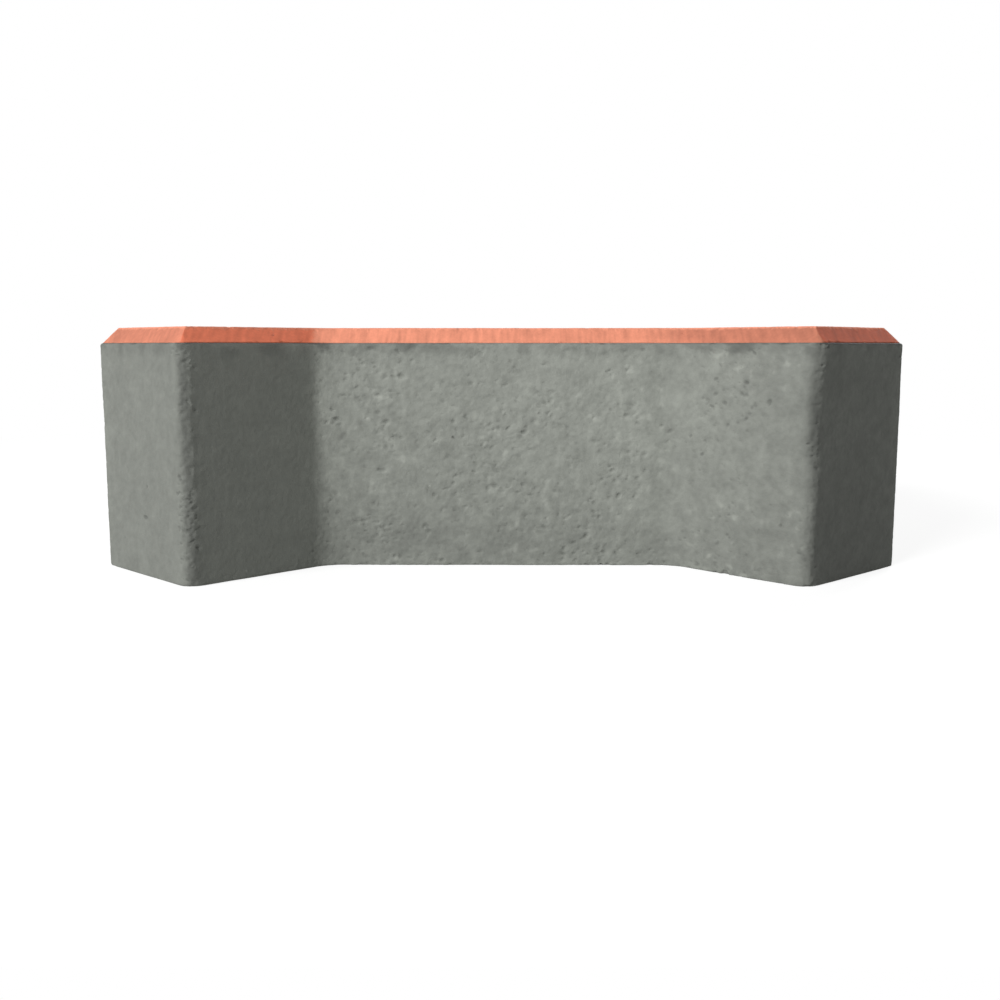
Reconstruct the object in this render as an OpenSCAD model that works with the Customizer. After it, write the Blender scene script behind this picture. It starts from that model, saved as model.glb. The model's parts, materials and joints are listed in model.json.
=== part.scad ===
// Interlocking concrete paver in the shape of an I, with ears at its four corners.
// The origin is on the bed face, under the middle of the unit. +X runs along the length of the
// unit and +Z points up through the coloured wearing face. All sizes are in millimetres.

/* [Unit] */
// Length of the unit from end face to end face
unit_l = 200; // [160:2:260]
// Thickness from the bed face up to the wearing face
unit_h = 60; // [40:5:120]
// Depth of the two side recesses, and of the cut corners that nest in them
recess_d = 28; // [18:1:34]

/* [Edges] */
// Radius of the four ear edges, the widest points of the unit
ear_r = 3; // [2:0.5:14]
// Radius in the four hollow corners where the neck meets the ears
neck_r = 10; // [1:0.5:20]
// Radius of the upright edges beside the end faces
end_r = 3; // [2:0.5:12]

/* [Wearing face] */
// Width and height of the 45 degree bevel round the wearing face
bevel = 3.8; // [2:0.2:6]
// Width of the flat rim that the pressing head leaves outside the bevel
rim_w = 0.7; // [0.2:0.1:2]

/* [Colours] */
// Colour of the plain concrete
body_colour = "#8f928b";
// Colour of the pigmented face mix
face_colour = "#ec987a";

/* [Hidden] */

// Neighbouring units are turned a quarter turn from each other, and the end of one nests in the
// recess of the next. All slanted walls stand at 45 degrees, so one depth sets every corner: the
// ear tips lie on the diagonals of the unit, and the end face, the recess floor and the neck
// between the two recesses are equally wide.
ear_half = unit_l / 2 - recess_d;
neck_half = ear_half - recess_d;

// Height of the joint between the plain concrete and the face mix, at the foot of the bevel.
joint_z = unit_h - bevel;

// The corners of one quarter before rounding, from the end face to the neck, as [x, y, radius].
quarter = [
    [unit_l / 2, neck_half, end_r],
    [ear_half, ear_half, ear_r],
    [neck_half, neck_half, neck_r],
];

// Largest turn between two points of a rounded corner, in degrees.
arc_step = 9;

// Least radius left on an edge where the inset is deeper than its rounding.
least_r = 0.3;

// Distance that the sloped skin of the face layer runs past both of its cut faces.
overrun = 0.5;

function reversed(list) = [for (i = [len(list) - 1 : -1 : 0]) list[i]];

function direction(v) = v / norm(v);

// All twelve corners, anticlockwise, from the quarter and its three mirror images.
function corners() = [
    for (side = [[1, 1], [-1, 1], [-1, -1], [1, -1]])
        for (c = side.x * side.y > 0 ? quarter : reversed(quarter))
            [side.x * c.x, side.y * c.y, c.z]
];

// Points of one rounded corner at b, on the way from a to c, moved inwards by inset. The centre
// stays put as the outline moves in: an ear tightens and a hollow corner opens out.
function rounded(a, b, c, radius, inset) =
    let (
        u = direction(b - a),
        v = direction(c - b),
        turn = atan2(u.x * v.y - u.y * v.x, u * v),
        bulge = sign(turn),
        inward = [-u.y, u.x],
        r = bulge > 0 ? max(radius, inset + least_r) : radius,
        centre = b - u * r * abs(tan(turn / 2)) + inward * r * bulge,
        start = atan2(-bulge * inward.y, -bulge * inward.x),
        steps = ceil(abs(turn) / arc_step)
    )
    [
        for (i = [0 : steps])
            let (angle = start + turn * i / steps)
                centre + (r - bulge * inset) * [cos(angle), sin(angle)]
    ];

// The whole outline, moved inwards by inset. Every inset gives the same number of points.
function outline(inset) =
    let (c = corners(), n = len(c))
    [
        for (i = [0 : n - 1])
            let (before = c[(i + n - 1) % n], here = c[i], after = c[(i + 1) % n])
                each rounded([before.x, before.y], [here.x, here.y], [after.x, after.y],
                             here.z, inset)
    ];

// A block whose whole side slopes inwards at 45 degrees, from inset_0 at height z0. The outline
// mirrors about the X axis, so strips between mirrored points close both of its ends.
module sloped_block(z0, inset_0, rise) {
    foot = outline(inset_0);
    head = outline(inset_0 + rise);
    n = len(foot);
    under = [for (k = [0 : n / 2 - 2]) [k, k + 1, n - 2 - k, n - 1 - k]];
    over = [for (strip = under) [for (i = reversed(strip)) n + i]];
    side = [for (k = [0 : n - 1]) [k, n + k, n + (k + 1) % n, (k + 1) % n]];
    polyhedron(
        points = [
            for (p = foot) [p.x, p.y, z0],
            for (p = head) [p.x, p.y, z0 + rise],
        ],
        faces = concat(under, side, over)
    );
}

// Plain concrete, with upright walls all round.
module concrete_body() {
    color(body_colour) linear_extrude(joint_z) polygon(outline(0));
}

// Pigmented face mix, as deep as the bevel and set in from the walls by the rim. The sloped
// block overruns the layer, and the slab cuts it flat at the joint and at the wearing face.
module face_layer() {
    color(face_colour)
    intersection() {
        sloped_block(joint_z - overrun, rim_w - overrun, bevel + 2 * overrun);
        translate([0, 0, joint_z]) linear_extrude(bevel) square(2 * unit_l, center = true);
    }
}

concrete_body();
face_layer();
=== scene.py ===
# %% [markdown]
# # A two-layer interlocking concrete paver
# A paver of this kind is pressed in a steel mould from two damp concrete mixes. The thick body is
# plain grey concrete with upright walls. The wearing layer on top is a thin, finer mix with iron
# oxide pigment, and the press gives it a 45 degree bevel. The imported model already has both
# layers as exact solids. Blender adds what the press and the handling leave on them: air voids,
# crumbled arrises, walls rubbed smooth by the mould, and the colour and grain of the two mixes.

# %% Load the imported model
import json
import math

import bpy
import numpy as np
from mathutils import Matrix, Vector, kdtree, noise

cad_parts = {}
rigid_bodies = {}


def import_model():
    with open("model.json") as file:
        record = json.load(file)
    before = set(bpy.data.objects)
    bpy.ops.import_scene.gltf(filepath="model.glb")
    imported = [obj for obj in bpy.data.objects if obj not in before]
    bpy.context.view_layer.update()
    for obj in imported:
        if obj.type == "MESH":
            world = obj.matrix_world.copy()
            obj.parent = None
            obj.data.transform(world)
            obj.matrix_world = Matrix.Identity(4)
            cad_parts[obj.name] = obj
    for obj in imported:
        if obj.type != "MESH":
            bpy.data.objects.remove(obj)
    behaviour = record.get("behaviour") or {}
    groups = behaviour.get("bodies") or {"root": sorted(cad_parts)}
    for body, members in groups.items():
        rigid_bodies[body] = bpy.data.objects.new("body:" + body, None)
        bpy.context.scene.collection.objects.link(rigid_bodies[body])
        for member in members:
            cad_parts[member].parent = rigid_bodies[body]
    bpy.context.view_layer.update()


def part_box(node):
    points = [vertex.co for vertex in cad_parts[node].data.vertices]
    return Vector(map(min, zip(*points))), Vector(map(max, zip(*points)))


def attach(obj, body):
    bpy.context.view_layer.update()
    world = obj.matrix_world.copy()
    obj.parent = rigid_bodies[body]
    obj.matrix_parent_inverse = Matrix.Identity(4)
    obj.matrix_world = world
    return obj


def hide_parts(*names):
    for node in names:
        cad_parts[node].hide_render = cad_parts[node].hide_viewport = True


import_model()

MM = 0.001

# %% [markdown]
# ## Sizes
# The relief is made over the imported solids, so its sizes are read from their boxes. Only the
# sizes that a box cannot tell, which are the depth of the recesses and the radii of the upright
# edges, are stated again here.

# %% Read the sizes of the unit, in millimetres
body_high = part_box("concrete_body")[1]
face_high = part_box("face_layer")[1]

half_length = body_high.x / MM
joint_z = body_high.z / MM
unit_h = face_high.z / MM
bevel = unit_h - joint_z
rim_w = (body_high.x - face_high.x) / MM

recess_d = 28.0
ear_r = 3.0
neck_r = 10.0
end_r = 3.0

ear_half = half_length - recess_d
neck_half = ear_half - recess_d
print("joint height", round(joint_z, 2), "bevel", round(bevel, 2), "rim", round(rim_w, 2))

# %% [markdown]
# ## The outline of the unit
# The unit is an I with ears. Its walls are straight and all slanted ones stand at 45 degrees, so
# twelve corner points with a radius each describe it. Every other shape here is a ring of points
# that follows this outline at some depth below the mould's surface. A ring keeps the same number
# of points at any depth, which lets neighbouring rings be joined with plain four-sided faces.
# The corners of a ring can also be worn, with a larger radius or a corner point that has moved.

# %% The twelve corners, anticlockwise from the right end
quarter = [
    (half_length, neck_half, end_r),
    (ear_half, ear_half, ear_r),
    (neck_half, neck_half, neck_r),
]
corners = []
for side_x, side_y in ((1, 1), (-1, 1), (-1, -1), (1, -1)):
    ordered = quarter if side_x * side_y > 0 else quarter[::-1]
    for x, y, radius in ordered:
        corners.append((Vector((side_x * x, side_y * y)), radius))
print(len(corners), "corners, with the ear tips at", round(ear_half, 2), "mm")

# %% Fineness of the relief, and corners without wear
# Distance between neighbouring points of the relief.
grain_step = 0.33

# Wear of each corner: its extra radius, and how far the corner point has moved.
no_wear = [(0.0, Vector((0, 0)))] * len(corners)

# %% One rounded corner
least_r = 0.3
fewest_steps = 4


def corner_arc(index, inset, worn=no_wear):
    """Centre, radius, start and turn of one rounded corner, moved inwards by inset."""
    places = [place + loss for (place, radius), (extra, loss) in zip(corners, worn)]
    here = places[index]
    before = places[index - 1]
    after = places[(index + 1) % len(corners)]
    radius = corners[index][1] + worn[index][0]
    u = (here - before).normalized()
    v = (after - here).normalized()
    turn = math.atan2(u.x * v.y - u.y * v.x, u.dot(v))
    bulge = math.copysign(1.0, turn)
    if bulge > 0:
        radius = max(radius, inset + least_r)
    inward = Vector((-u.y, u.x))
    centre = here - u * radius * abs(math.tan(turn / 2)) + inward * radius * bulge
    start = math.atan2(-bulge * inward.y, -bulge * inward.x)
    return centre, radius - bulge * inset, start, turn, bulge


def arc_steps(index):
    """An even number of steps, so that every corner has a middle point."""
    centre, radius, start, turn, bulge = corner_arc(index, 0.0)
    return max(fewest_steps, 2 * round(radius * abs(turn) / grain_step / 2))


# %% A ring: all corners and the walls between them
def ring(inset, worn=no_wear):
    """Points and outward directions all round, this inset below the mould's surface."""
    points = []
    outward = []
    for index in range(len(corners)):
        centre, radius, start, turn, bulge = corner_arc(index, inset, worn)
        steps = arc_steps(index)
        for k in range(steps + 1):
            angle = start + turn * k / steps
            ray = Vector((math.cos(angle), math.sin(angle)))
            points.append(centre + ray * radius)
            outward.append(ray * bulge)
        following = (index + 1) % len(corners)
        centre, radius, start, turn, bulge = corner_arc(following, inset, worn)
        wall_end = centre + radius * Vector((math.cos(start), math.sin(start)))
        wall_start = points[-1]
        face_on = outward[-1]
        for k in range(1, wall_steps[index]):
            points.append(wall_start.lerp(wall_end, k / wall_steps[index]))
            outward.append(face_on)
    return np.array(points), np.array(outward)


# %% Steps along each wall, between the arcs at its two ends
wall_steps = []
for index in range(len(corners)):
    centre, radius, start, turn, bulge = corner_arc(index, 0.0)
    leaves = centre + radius * Vector((math.cos(start + turn), math.sin(start + turn)))
    following = (index + 1) % len(corners)
    centre, radius, start, turn, bulge = corner_arc(following, 0.0)
    arrives = centre + radius * Vector((math.cos(start), math.sin(start)))
    wall_steps.append(round((arrives - leaves).length / grain_step))

outline, outline_out = ring(0.0)
around = len(outline)
print("points round the outline:", around)

# %% The point in the middle of each corner
corner_middle = []
position = 0
for index in range(len(corners)):
    corner_middle.append(position + arc_steps(index) // 2)
    position += arc_steps(index) + wall_steps[index]
print("middle points of the corners:", corner_middle)

# %% [markdown]
# ## Finish and painted shade of each wall
# The press squeezes the mix against the plates of the mould and then pushes the unit out along
# them. Here most of the slanted walls are rubbed closed, while the recess floors and the ends
# stay more open and keep their air voids. The shades of the front walls, and of the bevels above
# them, are painted light and shade: they are set together with the lamps, until each wall is
# about as bright as on the real unit, so they do not tell the concrete's own colour. Numbers like
# these could be painted on by hand, but a table with one row per wall, smoothed along the
# outline, is easier to read and to change, and both the relief and the colour can use it.

# %% One row of finish and painted shade for each wall
# How open the wall is, from 0 (rubbed closed) to 1 (full of voids), the painted shade and the
# mottling of its concrete, and the painted shade of the bevel above it. A wall follows the
# corner of its row.
wall_finish_and_painted_shade = {
    "back right slant": (0.15, 0.86, 0.60, 0.85),
    "back recess right": (0.25, 0.90, 0.70, 0.90),
    "back recess floor": (0.90, 1.00, 1.00, 1.00),
    "back recess left": (0.45, 0.95, 0.80, 0.92),
    "back left slant": (0.20, 0.84, 0.60, 0.88),
    "left end": (0.75, 0.95, 0.80, 0.95),
    "front left slant": (0.12, 0.79, 0.56, 0.68),
    "front recess left": (0.06, 1.16, 0.40, 0.96),
    "front recess floor": (1.00, 1.03, 0.75, 0.95),
    "front recess right": (0.70, 0.79, 0.76, 0.58),
    "front right slant": (0.10, 0.62, 0.66, 0.53),
    "right end": (0.70, 0.90, 0.80, 0.85),
}
wall_names = list(wall_finish_and_painted_shade)
openness_of, painted_shade_of, mottling_of, painted_bevel_shade = zip(*wall_finish_and_painted_shade.values())
print("finish of", len(wall_finish_and_painted_shade), "walls")


# %% Spread the rows along the outline
def along_outline(values, blur):
    """One value per point of the outline, from one value per wall, blurred over some mm."""
    per_point = []
    for index, value in enumerate(values):
        per_point += [value] * (arc_steps(index) + wall_steps[index])
    shift = arc_steps(0) // 2
    per_point = np.roll(np.array(per_point, float), shift)
    reach = int(blur / grain_step)
    window = np.hanning(2 * reach + 3)
    wrapped = np.concatenate([per_point[-reach - 1:], per_point, per_point[:reach + 1]])
    return np.convolve(wrapped, window / window.sum(), "valid")


wall_blend = 7.0
openness = along_outline(openness_of, wall_blend)
print("openness runs from", openness.min().round(2), "to", openness.max().round(2))


# %% Two ways to fade a value
def ramp(values, low, high):
    """From 0 at low to 1 at high."""
    return np.clip((values - low) / (high - low), 0, 1)


def swell(values, middle, reach):
    """1 at the middle, fading to 0 on both sides over about the reach."""
    return np.exp(-(((values - middle) / reach) ** 2))


# %% [markdown]
# ## Sweeping and filling
# A profile of heights and insets, swept round the outline, makes the walls and the bevel. Each
# point keeps the direction that is outwards there, so a relief can later be pushed straight in.
# A flat face that is seen is filled with a grid of the same fineness. One that stays hidden
# inside the unit is closed with strips from side to side, and a fan of thin faces at each end.

# %% Sweep a profile
def sweep(profile, wear=None):
    """Points and outward directions of a profile of (inset, height, tilt in degrees)."""
    points = []
    outward = []
    for inset, height, tilt in profile:
        xy, out = ring(inset, wear(height) if wear else no_wear)
        level = math.cos(math.radians(tilt))
        rise = math.sin(math.radians(tilt))
        points.append(np.column_stack([xy, np.full(around, height)]))
        outward.append(np.column_stack([out * level, np.full(around, rise)]))
    return np.array(points), np.array(outward)


def quads_between(rows):
    """Faces between neighbouring rows of a sweep that runs downwards."""
    faces = []
    k = np.arange(around)
    after = (k + 1) % around
    for row in range(rows - 1):
        upper = row * around
        lower = upper + around
        faces.append(np.column_stack([lower + k, lower + after, upper + after, upper + k]))
    return np.concatenate(faces)


# %% Fill a flat face
# The middle points of the four corners beside the ends split the outline into four sides.
far_side = np.arange(corner_middle[0], corner_middle[5] + 1)
left_side = np.arange(corner_middle[5], corner_middle[6] + 1)
near_side = np.arange(corner_middle[6], corner_middle[11] + 1)[::-1]
right_side = np.arange(corner_middle[11], corner_middle[0] + around + 1) % around


def flat_fill(rim, first_rim, first_new):
    """New points and upward faces that fill a ring, numbered after the points before them."""
    across = len(right_side) - 1
    grid = np.zeros((len(far_side), across + 1), int)
    grid[:, 0] = first_rim + near_side
    grid[:, -1] = first_rim + far_side
    grid[0] = first_rim + right_side
    grid[-1] = first_rim + left_side[::-1]
    low = rim[near_side[1:-1]]
    high = rim[far_side[1:-1]]
    inner = []
    for k in range(1, across):
        inner.append(low + (high - low) * k / across)
    inner = np.swapaxes(np.array(inner), 0, 1)
    numbers = first_new + np.arange(inner.shape[0] * inner.shape[1])
    grid[1:-1, 1:-1] = numbers.reshape(inner.shape[:2])
    up = np.stack([grid[:-1, :-1], grid[:-1, 1:], grid[1:, 1:], grid[1:, :-1]], axis=-1)
    return inner.reshape(-1, 3), up.reshape(-1, 4)


strips = np.column_stack([near_side[:-1], far_side[:-1], far_side[1:], near_side[1:]])
fans = []
for side in (right_side, left_side):
    for k in range(1, len(side) - 1):
        fans.append((side[0], side[k], side[k + 1]))
fans = np.array(fans)
print("hidden faces:", len(strips), "strips and", len(fans), "in the fans")

# %% [markdown]
# ## Worn arrises
# The four ears are the widest and weakest edges. They lose grains when units are stacked and
# slid over each other, which leaves an edge that wanders up and down, and knocks off the corner
# where it meets the bed. A bevel modifier would round them all alike, so instead the radius of
# every edge that stands out changes with height in its own slow waves. Two of the ears are also
# rubbed back along their inner slant. The pressed rim keeps its shape.

# %% Wear of the twelve upright edges, by height
# In mm: the mean extra radius, its swing, the extra at the bed, and how far the corner is rubbed
# back. The last number says how much the edge crumbles, from 0 to 1.
edge_wear = {
    "back right end": (0.3, 0.4, 0.8, 0.0, 0.30),
    "back right ear": (0.9, 0.9, 1.8, 0.6, 0.70),
    "back right neck": (0.0, 0.0, 0.0, 0.0, 0.0),
    "back left neck": (0.0, 0.0, 0.0, 0.0, 0.0),
    "back left ear": (0.5, 0.6, 1.4, 0.0, 0.80),
    "back left end": (0.3, 0.4, 0.8, 0.0, 0.30),
    "front left end": (0.2, 0.3, 0.8, 0.0, 0.35),
    "front left ear": (0.0, 0.2, 1.6, 0.0, 1.00),
    "front left neck": (0.0, 0.0, 0.0, 0.0, 0.0),
    "front right neck": (0.0, 0.0, 0.0, 0.0, 0.0),
    "front right ear": (0.0, 0.4, 1.2, 1.35, 0.80),
    "front right end": (0.3, 0.4, 0.8, 0.0, 0.20),
}

print(sum(row[-1] > 0 for row in edge_wear.values()), "of", len(edge_wear), "edges crumble")

# %% How the wear changes with height
# The neck corner at the other end of each ear's inner slant.
neck_of_ear = {1: 2, 4: 3, 7: 8, 10: 9}

# In mm of height: one wave of the radius, the reach of the extra at the bed, and how far below
# the rim the wear and the rubbing take to become full. Just under the rim some wear is left.
wave_height = 11.0
bed_reach = 1.8
rim_guard, least_at_rim = 6.0, 0.3
rubbed_from = 14.0

# The rubbed corner drifts in and out by this share, once in so many mm, and is furthest at a top.
drift_share, drift_height, drift_top = 0.11, 27.0, 38.0


def wear_at(height):
    """Extra radius and lost corner of the twelve edges at one height."""
    below_rim = joint_z - height
    share = min(below_rim / rubbed_from, 1.0)
    rubbed_share = share * share * (3 - 2 * share)
    near_rim = min(1.0, least_at_rim + below_rim / rim_guard)
    worn = []
    for index, (mean, swing, at_bed, rubbed, crumbling) in enumerate(edge_wear.values()):
        wave = noise.noise(Vector((index * 7.3, 0.5, height / wave_height))) * 2
        extra = max(0.0, mean + swing * wave) * near_rim
        extra += at_bed * math.exp(-height / bed_reach)
        loss = Vector((0, 0))
        if rubbed:
            towards_neck = corners[neck_of_ear[index]][0] - corners[index][0]
            phase = math.tau * (height - drift_top) / drift_height
            drift = 1 + drift_share * math.cos(phase)
            loss = towards_neck.normalized() * rubbed * drift * rubbed_share
        worn.append((extra, loss))
    return worn


half_way = joint_z / 2
print("extra radius half way up:", [round(extra, 2) for extra, loss in wear_at(half_way)])

# %% The body as the mould leaves it: sweep the walls, fill the bed, close the top
# The rim is rolled over down to roll_z, and its flat lip runs on under the wearing layer.
lip = 1.0
roll_z = joint_z - rim_w
bed_roll = 0.3

body_profile = [(rim_w + lip, joint_z, 90.0), (rim_w, joint_z, 90.0)]
for tilt in (70.0, 50.0, 30.0, 10.0):
    turn = math.radians(tilt)
    inset = rim_w * (1 - math.cos(turn))
    body_profile.append((inset, roll_z + rim_w * math.sin(turn), tilt))
wall_rows = round((roll_z - bed_roll) / grain_step)
for row in range(wall_rows + 1):
    body_profile.append((0.0, roll_z + (bed_roll - roll_z) * row / wall_rows, 0.0))
for tilt in (-30.0, -60.0, -90.0):
    turn = math.radians(tilt)
    inset = bed_roll * (1 - math.cos(turn))
    body_profile.append((inset, bed_roll + bed_roll * math.sin(turn), tilt))

wall_points, wall_out = sweep(body_profile, wear_at)
body_rows = len(body_profile)
wall_count = body_rows * around

bed_inner, bed_quads = flat_fill(wall_points[-1], wall_count - around, wall_count)
body_points = np.concatenate([wall_points.reshape(-1, 3), bed_inner])
bed_out = np.tile([0.0, 0.0, -1.0], (len(bed_inner), 1))
body_out = np.concatenate([wall_out.reshape(-1, 3), bed_out])
body_quads = np.concatenate([quads_between(body_rows), bed_quads[:, ::-1], strips])
print("body:", len(body_points), "points before the relief")

# %% [markdown]
# ## Relief
# Relief could be left to a bump texture, but bump does not change an outline or crumble an edge.
# Here each point is pushed in by a depth in millimetres that adds up a few simple causes: slow
# lumps of the mix, the grain of the sand, air voids against the mould, and crumbs lost from the
# arrises. A k-d tree finds the points near each void, so the same stamp works on a wall, round an
# edge and on the bed.

# %% Lumps: smooth noise at a size in millimetres
def lumps(points, size, octaves, seed):
    """Fractal noise, about -1 to 1, one value per point."""
    shift = Vector((seed * 13.7, seed * -7.9, seed * 5.3))
    values = [noise.fractal(Vector(p) / size + shift, 1.0, 2.1, octaves) for p in points]
    return np.array(values)


def search_tree(points):
    """A tree that finds the points near a place."""
    tree = kdtree.KDTree(len(points))
    for number, point in enumerate(points):
        tree.insert(point, number)
    tree.balance()
    return tree


# %% Voids: stamp many small hollows into a depth field
def stamp_hollows(depth, points, outward, tree, centres, shapes):
    """Each hollow is an ellipse of (half length, half height, depth, tilt, steepness)."""
    for centre, (long_r, short_r, deep, tilt, steep) in zip(centres, shapes):
        out = Vector(outward[centre])
        up = Vector((0, 1, 0)) if abs(out.z) > 0.9 else Vector((0, 0, 1))
        side = up.cross(out).normalized()
        up = out.cross(side)
        along = side * math.cos(tilt) + up * math.sin(tilt)
        over = up * math.cos(tilt) - side * math.sin(tilt)
        here = Vector(points[centre])
        for place, number, distance in tree.find_range(here, long_r):
            offset = place - here
            reach = (offset.dot(along) / long_r) ** 2 + (offset.dot(over) / short_r) ** 2
            if reach < 1:
                depth[number] = max(depth[number], deep * (1 - reach) ** steep)


shortest_half = 0.4


def draw_hollows(dice, count, weights, median, spread, longest, depth_share, sway=0.35):
    """Random centres and shapes, in mm: many small hollows and a few large ones.

    The sway is the spread of their tilt, in radians.
    """
    chances = weights / weights.sum()
    centres = dice.choice(len(weights), size=count, replace=False, p=chances)
    half = np.clip(median * np.exp(spread * dice.standard_normal(count)), shortest_half, longest)
    flat = dice.uniform(0.35, 0.75, count)
    deep = half * depth_share * dice.uniform(0.6, 1.2, count)
    tilt = dice.normal(0.1, sway, count)
    steep = dice.uniform(0.45, 1.1, count)
    return centres, list(zip(half, half * flat, deep, tilt, steep))


# %% Where the body is open, and where it crumbles
bed_openness = 0.45
crumble_reach = 2.4

height = body_points[:, 2]
on_wall = np.abs(body_out[:, 2]) < 0.5
in_bed = np.arange(len(body_points)) >= wall_count


def over_body(along, on_bed):
    """Values along the outline, repeated down the wall, and one value for the bed."""
    return np.concatenate([np.tile(along, body_rows), np.full(len(bed_inner), on_bed)])


open_wall = over_body(openness, bed_openness)
from_arris = []
crumble = np.zeros(len(body_points))
for middle, wear in zip(outline[corner_middle], edge_wear.values()):
    crumbling = wear[-1]
    away = np.hypot(body_points[:, 0] - middle[0], body_points[:, 1] - middle[1])
    from_arris.append(away)
    crumble = np.maximum(crumble, crumbling * swell(away, 0, crumble_reach))
crumble[in_bed] = 0.0
print("share of points that crumble:", round(float((crumble > 0.2).mean()), 3))

# %% Noise fields of the mix
clusters = lumps(body_points, 15.0, 2, seed=1)
slow = lumps(body_points, 13.0, 2, seed=2)
medium = lumps(body_points, 3.2, 2, seed=3)
grain = lumps(body_points, 1.1, 2, seed=4)
ragged = lumps(body_points, 1.3, 3, seed=5)
blotches = lumps(body_points, 6.0, 3, seed=6)
print("slow lumps from", slow.min().round(2), "to", slow.max().round(2))

# %% Voids: in clusters on the open walls, fewer in the bed, and rare near the two front ears
void_count = 5600
clear_below_roll = 0.6
void_share_of_bed = 0.3
clear_of_ears, full_from_ears = 9.0, 21.0
left_front_ear, right_front_ear = 7, 10

dice = np.random.default_rng(41)
body_tree = search_tree(body_points)
voids = np.zeros(len(body_points))
weights = open_wall ** 2 * np.clip(0.5 + 1.2 * clusters, 0.03, None)
weights *= height < roll_z - clear_below_roll
weights[in_bed] *= void_share_of_bed
from_front_ears = np.minimum(from_arris[left_front_ear], from_arris[right_front_ear])
weights *= np.clip(ramp(from_front_ears, clear_of_ears, full_from_ears), 0.05, 1)
centres, shapes = draw_hollows(
    dice, void_count, weights, median=0.45, spread=0.34, longest=1.3, depth_share=0.31)
stamp_hollows(voids, body_points, body_out, body_tree, centres, shapes)
print(void_count, "voids, the deepest", voids.max().round(2), "mm")

# %% Crumbs: lost from the arrises that crumble, most of all high on the right front ear
crumb_count = 450
knocked_at, knocked_reach, knocked_more = 46, 8, 8

crumb_weights = crumble ** 2 * on_wall * np.clip(0.25 + clusters, 0.02, None) + 1e-12
knocked = swell(height, knocked_at, knocked_reach) * (from_arris[right_front_ear] < crumble_reach)
crumb_weights *= 1 + knocked_more * knocked
centres, shapes = draw_hollows(
    dice, crumb_count, crumb_weights, median=0.42, spread=0.28, longest=0.75, depth_share=0.42)
stamp_hollows(voids, body_points, body_out, body_tree, centres, shapes)
print(crumb_count, "crumbs lost; points in a hollow:", int((voids > 0).sum()))

# %% Depth of the relief all over the body, in millimetres
# For each noise: the depth at a height of 1 of it, how far it is lifted before what is below 0
# is cut off, and the share of it that a closed wall keeps.
noise_relief = {
    "slow lumps": (slow, 0.05, 0.6, 1.0),
    "medium lumps": (medium, 0.038, 0.5, 0.15),
    "grain of the sand": (grain, 0.040, 0.5, 0.20),
}
depth = voids
for field, deep, lift, closed_share in noise_relief.values():
    kept = closed_share + (1 - closed_share) * open_wall
    depth = depth + kept * deep * np.clip(field + lift, 0, None)

# Crumbling arrises lose more, the bed is pressed smoother, and its edge is frayed.
crumble_depth, crumble_lift = 0.28, 0.2
bed_share = 0.4
fray_depth, fray_lift, fray_reach = 0.16, 0.05, 1.4
depth += crumble_depth * crumble * np.clip(ragged + crumble_lift, 0, None)
depth[in_bed] *= bed_share
bed_edge = swell(height, 0, fray_reach) * on_wall
depth += fray_depth * bed_edge * np.clip(ragged + fray_lift, 0, None)

# The two rings of the lip stay where they are, under the wearing layer.
depth[:2 * around] = 0.0
print("relief: deepest", depth.max().round(2), "mm, mean", depth.mean().round(3), "mm")

# %% [markdown]
# ## From points to a piece
# The grid is equally fine everywhere, which wastes faces where the wall is flat. A Decimate
# modifier joins points where that changes the shape least, so the voids and worn arrises keep
# theirs. What the material has to know about a point, such as how deep a hollow it lies in, is
# stored on the points before that, and is carried through.

# %% Build a piece and thin it out
def build_piece(name, points, quads, triangles, notes, most_triangles):
    """A closed mesh object in metres, with one number per point for each of the notes."""
    mesh = bpy.data.meshes.new(name)
    mesh.from_pydata((points * MM).tolist(), [], quads.tolist() + triangles.tolist())
    for note, values in notes.items():
        attribute = mesh.attributes.new(note, "FLOAT", "POINT")
        attribute.data.foreach_set("value", values.astype(np.float32))
    piece = bpy.data.objects.new(name, mesh)
    bpy.context.scene.collection.objects.link(piece)
    thin = piece.modifiers.new("join points on flat parts", "DECIMATE")
    thin.ratio = most_triangles / (2 * len(quads) + len(triangles))
    thin.use_collapse_triangulate = True
    depsgraph = bpy.context.evaluated_depsgraph_get()
    thinned = bpy.data.meshes.new_from_object(piece.evaluated_get(depsgraph))
    piece.modifiers.clear()
    piece.data = thinned
    thinned.name = name
    thinned.shade_smooth()
    place = np.zeros(len(thinned.vertices) * 3)
    thinned.vertices.foreach_get("co", place)
    place = np.clip(place.reshape(-1, 3), points.min(0) * MM, points.max(0) * MM)
    thinned.vertices.foreach_set("co", place.ravel())
    thinned.update()
    print(name, "has", len(thinned.polygons), "triangles, notes", sorted(notes))
    return piece


# %% [markdown]
# ## Tone and painted shade of the plain concrete
# Pressed concrete is never of one shade. The foot of the unit is darker, and a dark line with
# smudges runs under the wearing layer, where the second mix was filled on the first. Light and
# shade are painted into the tone as well: the shade of each wall, a darker rolled rim, darker
# arrises on the ears, and some of the patches on the front. All of this varies over millimetres
# to centimetres, so it is worked out once per point, while the material adds what is finer. It
# could be painted as an image too, but numbers on the points need no unwrapping and follow the
# shape.

# %% Painted shade and mottling of each wall
bed_shade = 0.9
bed_mottling = 0.9
tone = over_body(along_outline(painted_shade_of, wall_blend), bed_shade)
mottle = over_body(along_outline(mottling_of, wall_blend), bed_mottling)

# How much each point faces the front, and how much it faces right there as well. Both rise from
# 0 to 1 as the wall turns that way, so that nothing that follows them ends in a hard line.
facing = (0.1, 0.6)
in_front = over_body(ramp(-outline_out[:, 1], *facing), 0.0)
faces_right = over_body(ramp(outline_out[:, 0], *facing), 0.0) * in_front
along_x = body_points[:, 0]

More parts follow.
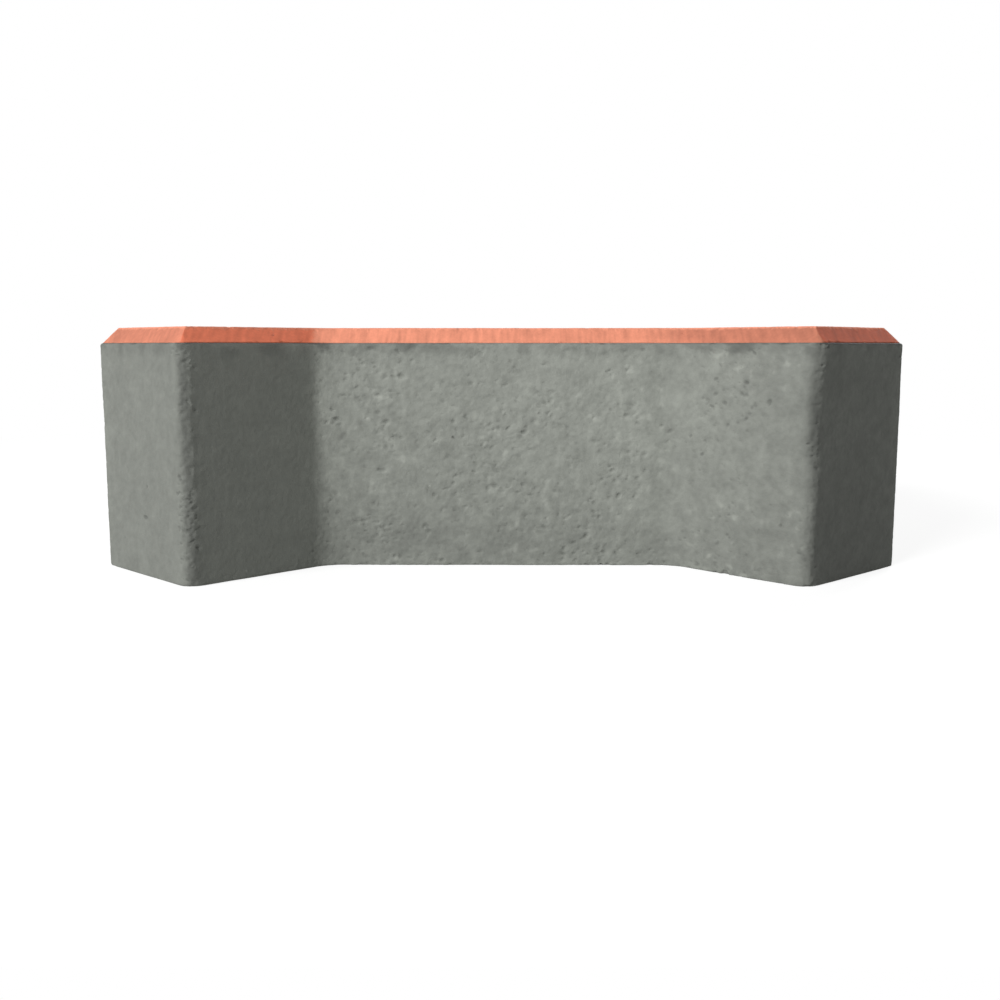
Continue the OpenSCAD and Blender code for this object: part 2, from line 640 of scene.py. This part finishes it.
# The front gets paler towards its right, and a little darker again beside the right ear.
paler_right = 0.09
less_at_ear = 0.10
less_from = 50
tone *= 1 + paler_right * (2 * ramp(along_x, -neck_half, neck_half) - 1) * in_front
tone *= 1 - less_at_ear * ramp(along_x, less_from, ear_half) * in_front

# It is also paler upwards on open walls, and twice as much on the right slant, where the
# paler top is painted light.
paler_up = 0.06 * np.where(along_x > ear_half, 2.0, open_wall) * in_front
paler_from, paler_to = 6, 54
tone *= 1 + paler_up * (2 * ramp(height, paler_from, paler_to) - 1)

print("tone of the walls from", tone.min().round(2), "to", tone.max().round(2))

# %% Paler and darker patches on the front, placed one by one
# In mm: the middle along X and up, and the reach along X and up. Then the change of shade.
# Some of them are painted light and shade: the first three lighten the wall beside the left hollow
# corner, those on the two front ears darken their arrises, and the top of the right wall is
# painted lighter.
patches = {
    "painted light at the left hollow corner": (-43.5, 22.0, 3.0, 32.0, 0.26),
    "its palest part": (-44.2, 42.0, 2.2, 10.5, 0.50),
    "pale strip beside it": (-39.0, 30.0, 5.0, 40.0, 0.05),
    "dark spot above that": (-40.3, 53.0, 2.6, 5.0, -0.18),
    "pale top of the left hollow": (-48.5, 55.0, 3.0, 2.0, 0.28),
    "painted shade on the left ear, upper part": (-71.6, 42.0, 1.2, 22.0, -0.36),
    "painted shade on the left ear, lower part": (-70.8, 2.0, 1.2, 20.0, -0.36),
    "dark strip before the left ear": (-74.8, 28.0, 1.2, 60.0, -0.08),
    "pale top of the left ear": (-71.9, 54.8, 1.5, 1.3, 0.35),
    "dark strip before the right ear": (64.5, 30.0, 3.0, 60.0, -0.05),
    "painted shade on the right ear": (71.4, 38.0, 1.5, 8.0, -0.36),
    "pale foot of the right ear": (70.0, 10.0, 3.5, 14.0, 0.12),
    "painted light at the top of the right wall": (86.0, 56.0, 16.0, 6.0, 0.10),
}
for middle_x, middle_up, reach_x, reach_up, change in patches.values():
    patch = swell(along_x, middle_x, reach_x) * swell(height, middle_up, reach_up)
    tone *= 1 + change * patch * in_front
print(len(patches), "patches, tone now up to", tone.max().round(2))

# %% Dark foot on the open walls, darker in some places than in others
foot_loss, foot_patches = 0.12, 0.10
foot_at, foot_reach = 6, 7
foot = swell(height, foot_at, foot_reach) * on_wall
tone *= 1 - (foot_loss + foot_patches * slow) * foot * open_wall
print("tone at the foot down to", tone[foot > 0.5].min().round(2))

# %% Dark line under the joint, with smudges that hang from it
line_loss, line_patches, line_reach = 0.15, 0.10, 2.2
below_joint = joint_z - height
joint_line = line_loss * (1 - faces_right) + line_patches * blotches
tone *= 1 - joint_line * swell(below_joint, 0, line_reach)

smudge_loss = 0.17
smudged = ramp(blotches, 0.06, 0.18) * (1 - ramp(below_joint, 2.4, 3.6))
tone *= 1 - smudge_loss * smudged

# Dark smears that hang from the joint: the middle along X and the half width, in mm.
smears = [(-44.0, 2.0), (-24.5, 3.0), (57.0, 3.2)]
smear_loss, smear_drop, smear_ragged, smear_edge = 0.30, 2.6, 0.9, 0.5
for middle, half in smears:
    across = (along_x - middle) / half
    drop = smear_drop * np.clip(1.2 - across ** 2, 0, 1) + smear_ragged * ragged
    tone *= 1 - smear_loss * ramp(drop - below_joint, 0, smear_edge) * in_front
print(len(smears), "smears, share of points smudged:", smudged.mean().round(3))

# %% Painted shade on the rolled rim and on the arrises of the ears
# The rolled rim is painted darker the more it faces up, where it would catch the light. It is
# darkest on the two front walls that face right: the left recess wall and, beyond the ear, the
# right slant.
painted_rim_shade_all_round, painted_rim_shade_in_recess, painted_rim_shade_on_slant = 0.10, 0.68, 1.10
least_tone = 0.1
tilted_up = np.clip(body_out[:, 2], 0, 1)
painted_rim_shade_facing_right = np.where(along_x > ear_half, painted_rim_shade_on_slant, painted_rim_shade_in_recess)
painted_rim_shade = painted_rim_shade_all_round + faces_right * painted_rim_shade_facing_right
tone *= np.clip(1 - painted_rim_shade * tilted_up, least_tone, 1)

# Each ear is painted darker on its arris, as painted shade: by how much, and over how many mm.
painted_arris_shade = {1: (0.12, 2.4), 4: (0.12, 2.4), 7: (0.22, 2.0), 10: (0.15, 2.0)}
for index, (loss, reach) in painted_arris_shade.items():
    tone *= 1 - loss * swell(from_arris[index], 0, reach) * on_wall
print("tone with its dark parts from", tone.min().round(2), "to", tone.max().round(2))

# %% Push the body in by its relief
# The material darkens a void by this note, partly as dirt in it and partly as painted shade.
# The note is stronger on the two walls that face front and left, as painted shade, because the
# light falls squarely into their voids and would leave them pale.
more_painted_shade_in_light, square_to_light = 0.6, (0.75, 0.95)
faces_left_front = over_body(-outline_out.sum(1) / math.sqrt(2), 0.0)
hollow = voids * (1 + more_painted_shade_in_light * ramp(faces_left_front, *square_to_light))
body = build_piece(
    "pitted_concrete_body",
    body_points - body_out * depth[:, None],
    body_quads,
    fans,
    {"hollow": hollow, "tone": tone, "mottle": mottle},
    most_triangles=195000,
)
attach(body, "root")
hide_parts("concrete_body")

# %% [markdown]
# ## The wearing layer
# The press head stamps the coloured mix into a flat face with a bevel all round. It leaves a
# closer surface than the mould's walls: a fine grain, small pores in the flat face, and streaks
# down the bevel where the head slid off it. It is made as the body is, with a short sloped
# profile and a filled top, and its arris is rounded by a third of a millimetre. The depth of the
# pores is noted on the points, as that of the body's voids is, so that the material darkens them.

# %% Sweep the bevel and fill the wearing face
arris_r = 0.35
arris_inset = rim_w + bevel + arris_r * math.tan(math.radians(22.5))
face_profile = []
for tilt in (90.0, 75.0, 60.0, 45.0):
    turn = math.radians(tilt)
    inset = arris_inset - arris_r * math.cos(turn)
    face_profile.append((inset, unit_h - arris_r + arris_r * math.sin(turn), tilt))
top_inset, top_height, top_tilt = face_profile[-1]
slope_rows = round(bevel / grain_step)
for row in range(1, slope_rows + 1):
    share = row / slope_rows
    inset = top_inset + (rim_w - top_inset) * share
    face_profile.append((inset, top_height + (joint_z - top_height) * share, top_tilt))

slope_points, slope_out = sweep(face_profile)
face_rows = len(face_profile)
slope_count = face_rows * around
lowest_ring = slope_count - around
top_inner, top_quads = flat_fill(slope_points[0], 0, slope_count)

face_points = np.concatenate([slope_points.reshape(-1, 3), top_inner])
top_out = np.tile([0.0, 0.0, 1.0], (len(top_inner), 1))
face_out = np.concatenate([slope_out.reshape(-1, 3), top_out])
foot_strips = lowest_ring + strips[:, ::-1]
face_quads = np.concatenate([quads_between(face_rows), top_quads, foot_strips])
print("wearing layer:", len(face_points), "points before the relief")

# %% Pores of the wearing layer, in clusters on the flat face, turned every way, rare on the bevel
pore_count = 2300
bevel_weight = 0.003
on_top = (face_points[:, 2] > unit_h - 0.01).astype(float)
face_tree = search_tree(face_points)
pores = np.zeros(len(face_points))
pore_clusters = lumps(face_points, 11.0, 2, seed=10)
weights = on_top * np.clip(0.35 + pore_clusters, 0.04, None) + bevel_weight
centres, shapes = draw_hollows(
    dice, pore_count, weights, median=0.44, spread=0.30, longest=1.1, depth_share=0.45, sway=2.0)
stamp_hollows(pores, face_points, face_out, face_tree, centres, shapes)
print(pore_count, "pores, the deepest", pores.max().round(2), "mm")

# %% Relief of the wearing layer: pores, slow lumps, and sand that stands out on the flat face
sand_on_bevel, more_sand_on_top = 0.03, 0.06
slow_depth, face_lift = 0.03, 0.4
sandy = np.clip(lumps(face_points, 1.3, 3, seed=8) + face_lift, 0, None)
face_depth = pores + (sand_on_bevel + more_sand_on_top * on_top) * sandy
face_depth += slow_depth * np.clip(lumps(face_points, 7.0, 2, seed=9) + face_lift, 0, None)
face_depth[lowest_ring:slope_count] = 0.0
print("wearing layer: deepest", face_depth.max().round(2), "mm")

# %% Tone of the bevel
def over_face(along):
    """Values along the outline, repeated down the bevel, and none on the wearing face."""
    return np.concatenate([np.tile(along, face_rows), np.zeros(len(top_inner))])


bevel_blend = 5.0
face_x = face_points[:, 0]
front_bevel = face_points[:, 1] < -30
on_bevel = ramp(unit_h - 0.1 - face_points[:, 2], 0, 0.3)
# The shade of the bevel above each wall is painted light and shade, set together with the lamps.
bevel_tone = over_face(along_outline(painted_bevel_shade, bevel_blend))

# The front bevel darkens towards the right end of the recess floor.
darker_right, darker_along = 0.08, (26, 48)
darker = darker_right * ramp(face_x, *darker_along)
bevel_tone *= 1 - darker * (face_x < neck_half) * front_bevel

# It is pale in its two hollow corners: the middle along X and the reach in mm, and how much.
for middle, reach, paler in ((45, 6, 0.14), (-43, 4, 0.09)):
    bevel_tone *= 1 + paler * swell(face_x, middle, reach) * front_bevel
face_tone = 1 + (bevel_tone - 1) * on_bevel

# Its foot is paler on the right part of the unit.
paler_foot, foot_height, paler_along = 0.08, (0.8, 1.3), (25, 35)
at_foot = 1 - ramp(face_points[:, 2] - joint_z, *foot_height)
face_tone *= 1 + paler_foot * at_foot * ramp(face_x, *paler_along)
print("bevel tone from", bevel_tone[:slope_count].min().round(2), "to", bevel_tone.max().round(2))

# %% Redness of the front bevels, most on the two that face right
# Each stretch starts at the middle of one corner, or some points after it, and ends at the
# middle of another, or some points after it. The last number is its redness.
red_stretches = [
    (6, 0, 7, 0, 0.12),
    (7, 0, 8, 20, 0.75),
    (9, 0, 10, 0, 0.10),
    (10, 5, 11, 0, 1.0),
]
red = np.zeros(around)
for first, first_later, last, last_later, richness in red_stretches:
    red[corner_middle[first] + first_later:corner_middle[last] + last_later] = richness
redness = over_face(red) * on_bevel

# The second stretch ends on an upright line in the hollow corner, at this place along X in mm.
red_end = -46.7
past_red_end = (face_x > red_end) & (face_x < 0)
redness[past_red_end] = 0.0
print("share of the layer's points that are red:", (redness > 0.5).mean().round(3))

# %% Mark the two ends, where the streaks of the bevel run the other way
at_end = over_face(along_outline([name.endswith("end") for name in wall_names], 0.4))
print("share of the layer's points at the ends:", (at_end > 0.5).mean().round(3))

# %% Push the wearing layer in by its relief
face_layer = build_piece(
    "streaked_face_layer",
    face_points - face_out * face_depth[:, None],
    face_quads,
    lowest_ring + fans[:, ::-1],
    {"tone": face_tone, "redness": redness, "bevel": on_bevel, "end": at_end, "hollow": pores},
    most_triangles=190000,
)
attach(face_layer, "root")
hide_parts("face_layer")

# %% [markdown]
# ## Helpers for materials
# A material is a small net of nodes. One function adds a node with its settings and its links,
# so each line of a material below reads as one step. Colours are written as sRGB hex values, as
# a paint or pigment chart gives them, and are turned to linear light for Blender.

# %% Colours
def colour(code):
    """An sRGB hex colour as linear red, green, blue and alpha."""
    parts = [int(code[k:k + 2], 16) / 255 for k in (1, 3, 5)]
    linear = [p / 12.92 if p <= 0.04045 else ((p + 0.055) / 1.055) ** 2.4 for p in parts]
    return (*linear, 1.0)


print("plain grey in linear light:", [round(part, 3) for part in colour("#8e918a")])


# %% Nodes
def add_node(tree, kind, settings, links):
    """A node with its settings, linked from earlier nodes or from one of their outputs."""
    node = tree.nodes.new(kind)
    for name, value in settings.items():
        if isinstance(name, str) and hasattr(node, name):
            setattr(node, name, value)
        else:
            node.inputs[name].default_value = value
    for name, source in links.items():
        output = source.outputs[0] if isinstance(source, bpy.types.Node) else source
        tree.links.new(output, node.inputs[name])
    return node


def new_material(name):
    """A material with an empty net of nodes."""
    material = bpy.data.materials.new(name)
    material.use_nodes = True
    material.node_tree.nodes.clear()
    return material, material.node_tree


# %% Sums of noise patterns
def sum_patterns(tree, patterns):
    """The sum of noise patterns round zero; each is (vector, size in mm, detail, swing)."""
    total = None
    parts = {}
    for title, (vector, size, detail, swing) in patterns.items():
        pattern = add_node(tree, "ShaderNodeTexNoise", {"Scale": 1000 / size, "Detail": detail},
                           {"Vector": vector})
        pattern.label = title
        parts[title] = pattern
        links = {0: pattern}
        if total:
            links[2] = total
        total = add_node(tree, "ShaderNodeMath", {"operation": "MULTIPLY_ADD", 1: swing, 2: 0.0},
                         links)
    middle = sum(swing for vector, size, detail, swing in patterns.values()) / 2
    total = add_node(tree, "ShaderNodeMath", {"operation": "SUBTRACT", 1: middle}, {0: total})
    return total, parts


# %% [markdown]
# ## Pressed plain concrete
# The body is grey Portland cement with crushed sand, pressed nearly dry against steel plates.
# That gives a matt skin in which the sand shows as fine, soft mottling, with larger patches of
# wetter and drier mix, faint streaks from being pushed out of the mould, and here and there a
# bloom of lime. Cement has no gloss, so its roughness is 0.9, with the IOR of 1.5 that minerals
# share. The finest sand is drawn at 0.45 mm, coarser than its dust, so that it shows.

# %% Mottling of the plain concrete
plain, tree = new_material("pressed plain concrete")
where = add_node(tree, "ShaderNodeTexCoord", {}, {}).outputs["Object"]
upright = add_node(tree, "ShaderNodeMapping", {"Scale": (1.0, 1.0, 0.14)}, {"Vector": where})
mottling, parts = sum_patterns(tree, {
    "sand": (where, 0.45, 1.0, 0.17),
    "grains": (where, 1.2, 0.0, 0.28),
    "coarse grains": (where, 2.6, 0.0, 0.36),
    "wet and dry spots": (where, 5.0, 1.0, 0.42),
    "patches": (where, 14.0, 2.0, 0.24),
    "drag streaks": (upright, 4.0, 2.0, 0.14),
})
mottle_note = add_node(tree, "ShaderNodeAttribute", {"attribute_name": "mottle"}, {})
mottle_note = mottle_note.outputs["Fac"]
swing = add_node(tree, "ShaderNodeMath", {"operation": "MULTIPLY_ADD", 2: 1.0},
                 {0: mottling, 1: mottle_note})

# %% Shade of the plain concrete, from its notes and its mottling
hollow_note = add_node(tree, "ShaderNodeAttribute", {"attribute_name": "hollow"}, {})
tone_note = add_node(tree, "ShaderNodeAttribute", {"attribute_name": "tone"}, {})
# Voids are darkened, partly as dirt in them and partly as painted shade.
void_dirt_and_shade = add_node(tree, "ShaderNodeMapRange",
                   {"From Min": 0.05, "From Max": 0.4, "To Min": 1.0, "To Max": 0.68},
                   {0: hollow_note.outputs["Fac"]})
shade = add_node(tree, "ShaderNodeMath", {"operation": "MULTIPLY"}, {0: swing, 1: void_dirt_and_shade})
shade = add_node(tree, "ShaderNodeMath", {"operation": "MULTIPLY"},
                 {0: shade, 1: tone_note.outputs["Fac"]})
cement = add_node(tree, "ShaderNodeVectorMath",
                  {"operation": "SCALE", 0: colour("#8e918a")[:3]}, {"Scale": shade})

# %% Lime bloom: faint pale flecks of 2 to 3 mm, in places, on the open walls only
flecks = add_node(tree, "ShaderNodeTexNoise", {"Scale": 1000 / 2.6, "Detail": 1.0},
                  {"Vector": where})
flecks = add_node(tree, "ShaderNodeMapRange",
                  {"From Min": 0.60, "From Max": 0.74, "To Min": 0.0, "To Max": 0.24},
                  {0: flecks})
in_places = add_node(tree, "ShaderNodeTexNoise", {"Scale": 1000 / 22, "Detail": 1.0},
                     {"Vector": where})
in_places = add_node(tree, "ShaderNodeMapRange",
                     {"From Min": 0.50, "From Max": 0.58, "To Min": 0.0, "To Max": 1.0},
                     {0: in_places})
on_open = add_node(tree, "ShaderNodeMapRange",
                   {"From Min": 0.67, "From Max": 0.73, "To Min": 0.0, "To Max": 1.0},
                   {0: mottle_note})
bloom = add_node(tree, "ShaderNodeMath", {"operation": "MULTIPLY"}, {0: flecks, 1: in_places})
bloom = add_node(tree, "ShaderNodeMath", {"operation": "MULTIPLY"}, {0: bloom, 1: on_open})
flecked = add_node(tree, "ShaderNodeMix", {"data_type": "RGBA", 7: colour("#b9bcb3")},
                   {0: bloom, 6: cement})

# %% Surface of the plain concrete, with a bump for the sand that is too fine for the mesh
sand_height = 0.16 * MM
height_map = add_node(tree, "ShaderNodeMath", {"operation": "MULTIPLY_ADD", 1: 0.5},
                      {0: parts["sand"], 2: parts["grains"]})
height_map = add_node(tree, "ShaderNodeMath", {"operation": "MULTIPLY"},
                      {0: height_map, 1: mottle_note})
bump = add_node(tree, "ShaderNodeBump", {"Strength": 1.0, "Distance": sand_height},
                {"Height": height_map})
surface = add_node(tree, "ShaderNodeBsdfPrincipled", {"Roughness": 0.9, "IOR": 1.5},
                   {"Base Color": flecked.outputs[2], "Normal": bump})
add_node(tree, "ShaderNodeOutputMaterial", {}, {0: surface})
body.data.materials.append(plain)
print(plain.name, "has", len(tree.nodes), "nodes")

# %% [markdown]
# ## Pressed pigmented face mix
# The wearing layer is fine cement mortar coloured with red and yellow iron oxide. Pressed by a
# polished head, it is a little closer than the body, so its roughness is 0.85, but still matt.
# The eye sees a warm, even salmon colour with a fine sandy grain. On the flat face some grains
# are bared, a few darker and a few paler than the paste. On the bevel, the head drags the mix
# into thin streaks, and the two front bevels that face right are redder than the rest. The streaks
# lie straight across the unit, or at its two ends straight along it. So they run down the slope
# above the recess floors and the ends, and lean across it on the slanted bevels. They are drawn
# about a millimetre wide, as wide as a coarse sand grain that was dragged.

# %% Streaks and grain of the face mix
pigmented, tree = new_material("pressed pigmented face mix")
where = add_node(tree, "ShaderNodeTexCoord", {}, {}).outputs["Object"]
end_note = add_node(tree, "ShaderNodeAttribute", {"attribute_name": "end"}, {})
bevel_note = add_node(tree, "ShaderNodeAttribute", {"attribute_name": "bevel"}, {})
side_way = add_node(tree, "ShaderNodeMapping", {"Scale": (1.0, 0.16, 0.16)}, {"Vector": where})
end_way = add_node(tree, "ShaderNodeMapping", {"Scale": (0.16, 1.0, 0.16)}, {"Vector": where})
down = add_node(tree, "ShaderNodeMix", {"data_type": "VECTOR"},
                {0: end_note.outputs["Fac"], 4: side_way, 5: end_way}).outputs[1]
streaks = sum_patterns(tree, {
    "press streaks": (down, 1.0, 1.0, 0.48),
    "wide streaks": (down, 2.6, 1.0, 0.34),
})[0]
streaks = add_node(tree, "ShaderNodeMath", {"operation": "MULTIPLY"},
                   {0: streaks, 1: bevel_note.outputs["Fac"]})
grains, grain_parts = sum_patterns(tree, {
    "sand": (where, 0.6, 1.0, 0.20),
    "coarse grains": (where, 1.8, 1.0, 0.20),
    "patches": (where, 12.0, 2.0, 0.12),
})

# %% Grains of sand bared on the flat face: about a sixth of them dark and a tenth pale
# In mm: how far apart they lie, as the coarse grains of a 2 mm sand do, how far their edges
# wander from round, and over what length.
grain_apart, wander, wander_length = 1.5, 0.9, 0.9
on_flat = add_node(tree, "ShaderNodeMath", {"operation": "SUBTRACT", 0: 1.0},
                   {1: bevel_note.outputs["Fac"]})
wandering = add_node(tree, "ShaderNodeTexNoise", {"Scale": 1000 / wander_length, "Detail": 0.0},
                     {"Vector": where})
ragged_way = add_node(tree, "ShaderNodeVectorMath",
                      {"operation": "MULTIPLY_ADD", 1: (wander * MM,) * 3},
                      {0: wandering.outputs["Color"], 2: where})
cells = add_node(tree, "ShaderNodeTexVoronoi", {"Scale": 1000 / grain_apart},
                 {"Vector": ragged_way})
in_grain = add_node(tree, "ShaderNodeMapRange",
                    {"From Min": 0.30, "From Max": 0.50, "To Min": 1.0, "To Max": 0.0},
                    {0: cells.outputs["Distance"]})
lot = add_node(tree, "ShaderNodeSeparateColor", {}, {0: cells.outputs["Color"]})
dark_grain = add_node(tree, "ShaderNodeMapRange",
                      {"From Min": 0.10, "From Max": 0.22, "To Min": -0.20, "To Max": 0.0},
                      {0: lot.outputs[0]})
pale_grain = add_node(tree, "ShaderNodeMapRange",
                      {"From Min": 0.84, "From Max": 0.96, "To Min": 0.0, "To Max": 0.16},
                      {0: lot.outputs[0]})
bared = add_node(tree, "ShaderNodeMath", {"operation": "ADD"}, {0: dark_grain, 1: pale_grain})
bared = add_node(tree, "ShaderNodeMath", {"operation": "MULTIPLY"}, {0: bared, 1: in_grain})
bared = add_node(tree, "ShaderNodeMath", {"operation": "MULTIPLY"}, {0: bared, 1: on_flat})

# %% Shade and colour of the face mix
pore_note = add_node(tree, "ShaderNodeAttribute", {"attribute_name": "hollow"}, {})
# Pores are darkened, partly as dirt in them and partly as painted shade.
pore_dirt_and_shade = add_node(tree, "ShaderNodeMapRange",
                   {"From Min": 0.05, "From Max": 0.4, "To Min": 1.0, "To Max": 0.70},
                   {0: pore_note.outputs["Fac"]})
face_tone_note = add_node(tree, "ShaderNodeAttribute", {"attribute_name": "tone"}, {})
redness_note = add_node(tree, "ShaderNodeAttribute", {"attribute_name": "redness"}, {})
shade = add_node(tree, "ShaderNodeMath", {"operation": "ADD"}, {0: streaks, 1: grains})
shade = add_node(tree, "ShaderNodeMath", {"operation": "ADD"}, {0: shade, 1: bared})
shade = add_node(tree, "ShaderNodeMath", {"operation": "ADD", 1: 1.0}, {0: shade})
shade = add_node(tree, "ShaderNodeMath", {"operation": "MULTIPLY"}, {0: shade, 1: pore_dirt_and_shade})
shade = add_node(tree, "ShaderNodeMath", {"operation": "MULTIPLY"},
                 {0: shade, 1: face_tone_note.outputs["Fac"]})
oxide = add_node(tree, "ShaderNodeMix",
                 {"data_type": "RGBA", 6: colour("#ec9678"), 7: colour("#f07954")},
                 {0: redness_note.outputs["Fac"]})
pigment = add_node(tree, "ShaderNodeVectorMath", {"operation": "SCALE"},
                   {0: oxide.outputs[2], "Scale": shade})

# %% Surface of the face mix, with a bump for the grit of the flat face
grit_height = 0.12 * MM
grit = add_node(tree, "ShaderNodeMath", {"operation": "ADD"},
                {0: grain_parts["sand"], 1: grain_parts["coarse grains"]})
grit = add_node(tree, "ShaderNodeMath", {"operation": "MULTIPLY"}, {0: grit, 1: on_flat})
bump = add_node(tree, "ShaderNodeBump", {"Strength": 1.0, "Distance": grit_height},
                {"Height": grit})
surface = add_node(tree, "ShaderNodeBsdfPrincipled", {"Roughness": 0.85, "IOR": 1.5},
                   {"Base Color": pigment, "Normal": bump})
add_node(tree, "ShaderNodeOutputMaterial", {}, {0: surface})
face_layer.data.materials.append(pigmented)
print(pigmented.name, "has", len(tree.nodes), "nodes")

# %% [markdown]
# ## Studio
# The unit stands on a plain pale sheet in a white room. A white background could be had by
# flooding the scene with light, but that would bleach the object. So the sheet and the world are
# white only where the camera, or a ray through gloss or glass, looks at them, and give the object
# the dim light of a grey studio. Near the unit the sheet also shows the light that falls on it,
# so that it keeps a soft shadow.

# %% What the camera sees, in one node
def seen_directly(tree):
    """1 for rays from the camera, and for those that gloss or glass pass on."""
    path = add_node(tree, "ShaderNodeLightPath", {}, {})
    seen = add_node(tree, "ShaderNodeMath", {"operation": "MAXIMUM"},
                    {0: path.outputs["Is Camera Ray"], 1: path.outputs["Is Glossy Ray"]})
    return add_node(tree, "ShaderNodeMath", {"operation": "MAXIMUM"},
                    {0: seen, 1: path.outputs["Is Transmission Ray"]})


# %% Floor
floor_half = 6.0
floor_mesh = bpy.data.meshes.new("pale studio floor")
floor_mesh.from_pydata(
    [(x * floor_half, y * floor_half, 0) for x, y in ((-1, -1), (1, -1), (1, 1), (-1, 1))],
    [],
    [(0, 1, 2, 3)],
)
floor = bpy.data.objects.new("pale_studio_floor", floor_mesh)
bpy.context.scene.collection.objects.link(floor)

paper, tree = new_material("matt studio paper")
where = add_node(tree, "ShaderNodeTexCoord", {}, {}).outputs["Object"]
away = add_node(tree, "ShaderNodeVectorMath", {"operation": "LENGTH"}, {0: where})
shadow_end = add_node(tree, "ShaderNodeMapRange",
                      {"interpolation_type": "SMOOTHSTEP", "From Min": 0.16, "From Max": 0.45,
                       "To Min": 0.0, "To Max": 1.0},
                      {0: away.outputs["Value"]})
matt = add_node(tree, "ShaderNodeBsdfDiffuse", {"Color": (0.3, 0.3, 0.3, 1)}, {})
glow = add_node(tree, "ShaderNodeEmission", {"Color": (1, 1, 1, 1), "Strength": 0.8}, {})
with_shadow = add_node(tree, "ShaderNodeAddShader", {}, {0: matt, 1: glow})
white = add_node(tree, "ShaderNodeEmission", {"Color": (1, 1, 1, 1), "Strength": 1.0}, {})
as_seen = add_node(tree, "ShaderNodeMixShader", {}, {0: shadow_end, 1: with_shadow, 2: white})
paper_mix = add_node(tree, "ShaderNodeMixShader", {},
                     {0: seen_directly(tree), 1: matt, 2: as_seen})
add_node(tree, "ShaderNodeOutputMaterial", {}, {0: paper_mix})
floor_mesh.materials.append(paper)
print("floor is", 2 * floor_half, "m wide")

# %% World
world = bpy.data.worlds.new("white studio")
bpy.context.scene.world = world
world.use_nodes = True
tree = world.node_tree
tree.nodes.clear()
dim = add_node(tree, "ShaderNodeBackground", {"Color": (1, 1, 1, 1), "Strength": 0.21}, {})
bright = add_node(tree, "ShaderNodeBackground", {"Color": (1, 1, 1, 1), "Strength": 1.0}, {})
sky = add_node(tree, "ShaderNodeMixShader", {}, {0: seen_directly(tree), 1: dim, 2: bright})
add_node(tree, "ShaderNodeOutputWorld", {}, {0: sky})
print("the sky lights the unit at", dim.inputs["Strength"].default_value)

# %% [markdown]
# ## Lights
# Of the slanted front walls, the two that face left are some three times as bright, in linear
# light, as the two that face right. So the main light stands well to the left, nearly square to
# the first two and almost edge-on to the others. A softbox 1.1 m wide does this with soft shadows.
# A second one behind, lower and weaker, keeps the back of the unit from going flat. The level of
# each is set so that a surface that faces it renders its colour about as it is written.

# %% Softboxes
def softbox(name, azimuth, elevation, distance, width, height, level):
    """An area lamp that gives about this level on a surface facing it; azimuth 0 is in front."""
    lamp = bpy.data.lights.new(name, "AREA")
    lamp.shape = "RECTANGLE"
    lamp.size = width
    lamp.size_y = height
    lamp.energy = level * math.pi ** 2 * distance ** 2
    holder = bpy.data.objects.new(name, lamp)
    turn, lift = math.radians(azimuth), math.radians(elevation)
    flat = math.cos(lift)
    direction = Vector((math.sin(turn) * flat, -math.cos(turn) * flat, math.sin(lift)))
    aim = Vector((0, 0, unit_h * MM / 2))
    holder.location = aim + direction * distance
    holder.rotation_euler = (-direction).to_track_quat("-Z", "Y").to_euler()
    holder.visible_camera = False
    bpy.context.scene.collection.objects.link(holder)
    print(name, "gives", round(lamp.energy, 1), "W")


softbox("key softbox", azimuth=-42, elevation=26, distance=2.4, width=1.1, height=0.8, level=1.06)
softbox("back softbox", azimuth=150, elevation=16, distance=2.4, width=0.8, height=0.8, level=0.9)

# %% [markdown]
# ## Camera
# The unit is seen from straight in front, from a third of a metre away and from just under the
# height of its joint, so the wearing face is hidden and only its bevel shows as a thin band. The
# camera is tilted down by some 8 degrees, which puts the unit above the middle of the frame.

# %% Camera
camera_data = bpy.data.cameras.new("camera")
camera_data.sensor_width = 36.0
camera_data.lens = 39.95
camera = bpy.data.objects.new("camera", camera_data)
bpy.context.scene.collection.objects.link(camera)
camera.location = (0.00188, -0.32234, 0.05533)
pitch = math.radians(7.87)
yaw = math.radians(-0.41)
level = math.cos(pitch)
gaze = Vector((math.sin(yaw) * level, math.cos(yaw) * level, -math.sin(pitch)))
camera.rotation_euler = gaze.to_track_quat("-Z", "Y").to_euler()
bpy.context.scene.camera = camera
bpy.context.scene.view_settings.view_transform = "Standard"
print("camera stands", round(-camera.location.y / MM), "mm in front of the middle")
